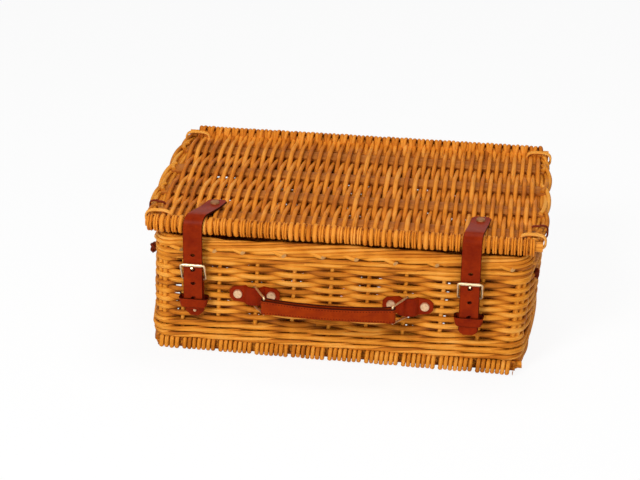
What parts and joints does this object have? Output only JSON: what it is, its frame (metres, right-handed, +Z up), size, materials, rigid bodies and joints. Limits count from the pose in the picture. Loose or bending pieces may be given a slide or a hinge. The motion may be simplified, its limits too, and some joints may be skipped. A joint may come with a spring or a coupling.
{
  "type": "picnic basket",
  "caption": "Woven willow picnic hamper with a hinged woven lid, buckled leather closure straps and a leather carrying handle.",
  "frame": {"origin": "on the floor, under the middle of the hamper's outer size", "axes": "+X to the right, +Y to the back, +Z up; the front with the handle faces -Y"},
  "size_m": [0.4202, 0.291, 0.1588],
  "materials": {
    "wands": "buff willow, peeled, satin",
    "sticks": "round willow sticks, satin",
    "laths": "split willow, flat side up",
    "cane": "thin split cane",
    "straps": "chestnut, polished",
    "handle_leather": "chestnut, polished",
    "thong": "dark red-brown",
    "rivets": "dull bronzed",
    "buckles": "pale, polished",
    "rings": "dull bronzed wire"
  },
  "bodies": {
    "basket": {"base_weave": "wands", "base_sticks": "sticks", "stakes": "sticks", "corner_posts": "sticks", "lower_wale": "wands", "wall_randing": "wands", "upper_wale": "wands", "hinge_rail": "sticks", "hinge_loops": "wands", "left_chape": "straps", "right_chape": "straps", "left_keeper": "straps", "right_keeper": "straps", "chape_rivets": "rivets", "left_handle_tab": "handle_leather", "right_handle_tab": "handle_leather", "handle_rivets": "rivets", "left_stay": "thong", "right_stay": "thong", "stay_knots": "thong"},
    "lid": {"lid_weave": "wands", "lid_front_stick": "sticks", "lid_back_stick": "sticks", "lid_laths": "laths", "lid_end_wands": "wands", "corner_ties": "cane", "left_lid_strap": "straps", "right_lid_strap": "straps", "lid_strap_rivets": "rivets"},
    "left_tail": {"left_strap_tail": "straps"},
    "right_tail": {"right_strap_tail": "straps"},
    "left_buckle": {"left_buckle_frame": "buckles", "left_buckle_sleeve": "buckles"},
    "right_buckle": {"right_buckle_frame": "buckles", "right_buckle_sleeve": "buckles"},
    "left_prong": {"left_tongue": "buckles"},
    "right_prong": {"right_tongue": "buckles"},
    "left_ring": {"left_handle_ring": "rings"},
    "handle": {"handle_strap": "handle_leather"},
    "right_ring": {"right_handle_ring": "rings"}
  },
  "joints": [
    {"name": "lid_hinge", "type": "hinge", "parent": "basket", "child": "lid", "pos_m": [0, 0.13603, 0.1468], "axis": [-1, 0, 0], "range_deg": [0, 100], "deforming": ["left_stay", "right_stay"]},
    {"name": "left_strap_swing", "type": "hinge", "parent": "lid", "child": "left_tail", "pos_m": [-0.1515, -0.12087, 0.1468], "axis": [-1, 0, 0], "range_deg": [0, 110], "deforming": ["left_strap_tail"]},
    {"name": "left_buckle_swing", "type": "hinge", "parent": "basket", "child": "left_buckle", "pos_m": [-0.1515, -0.11486, 0.088], "axis": [1, 0, 0], "range_deg": [0, 65]},
    {"name": "left_tongue_swing", "type": "hinge", "parent": "left_buckle", "child": "left_prong", "pos_m": [-0.1515, -0.11486, 0.088], "axis": [1, 0, 0], "range_deg": [0, 50]},
    {"name": "right_strap_swing", "type": "hinge", "parent": "lid", "child": "right_tail", "pos_m": [0.1315, -0.12087, 0.1468], "axis": [-1, 0, 0], "range_deg": [0, 110], "deforming": ["right_strap_tail"]},
    {"name": "right_buckle_swing", "type": "hinge", "parent": "basket", "child": "right_buckle", "pos_m": [0.1315, -0.11486, 0.088], "axis": [1, 0, 0], "range_deg": [0, 65]},
    {"name": "right_tongue_swing", "type": "hinge", "parent": "right_buckle", "child": "right_prong", "pos_m": [0.1315, -0.11486, 0.088], "axis": [1, 0, 0], "range_deg": [0, 50]},
    {"name": "left_ring_swing", "type": "hinge", "parent": "basket", "child": "left_ring", "pos_m": [-0.089, -0.11527, 0.073], "axis": [0, 0, 1], "range_deg": [-15, 15]},
    {"name": "handle_swing", "type": "hinge", "parent": "left_ring", "child": "handle", "pos_m": [-0.07541, -0.13743, 0.073], "axis": [0, 0, 1], "range_deg": [-18.5, 18.5]},
    {"name": "right_ring_swing", "type": "hinge", "parent": "handle", "child": "right_ring", "pos_m": [0.05541, -0.13743, 0.073], "axis": [0, 0, 1], "range_deg": [-18.5, 18.5]}
  ],
  "couplings": [
    {"joint": "handle_swing", "follows": "left_ring_swing", "ratio": -1.2077},
    {"joint": "right_ring_swing", "follows": "left_ring_swing", "ratio": 1.2077}
  ]
}
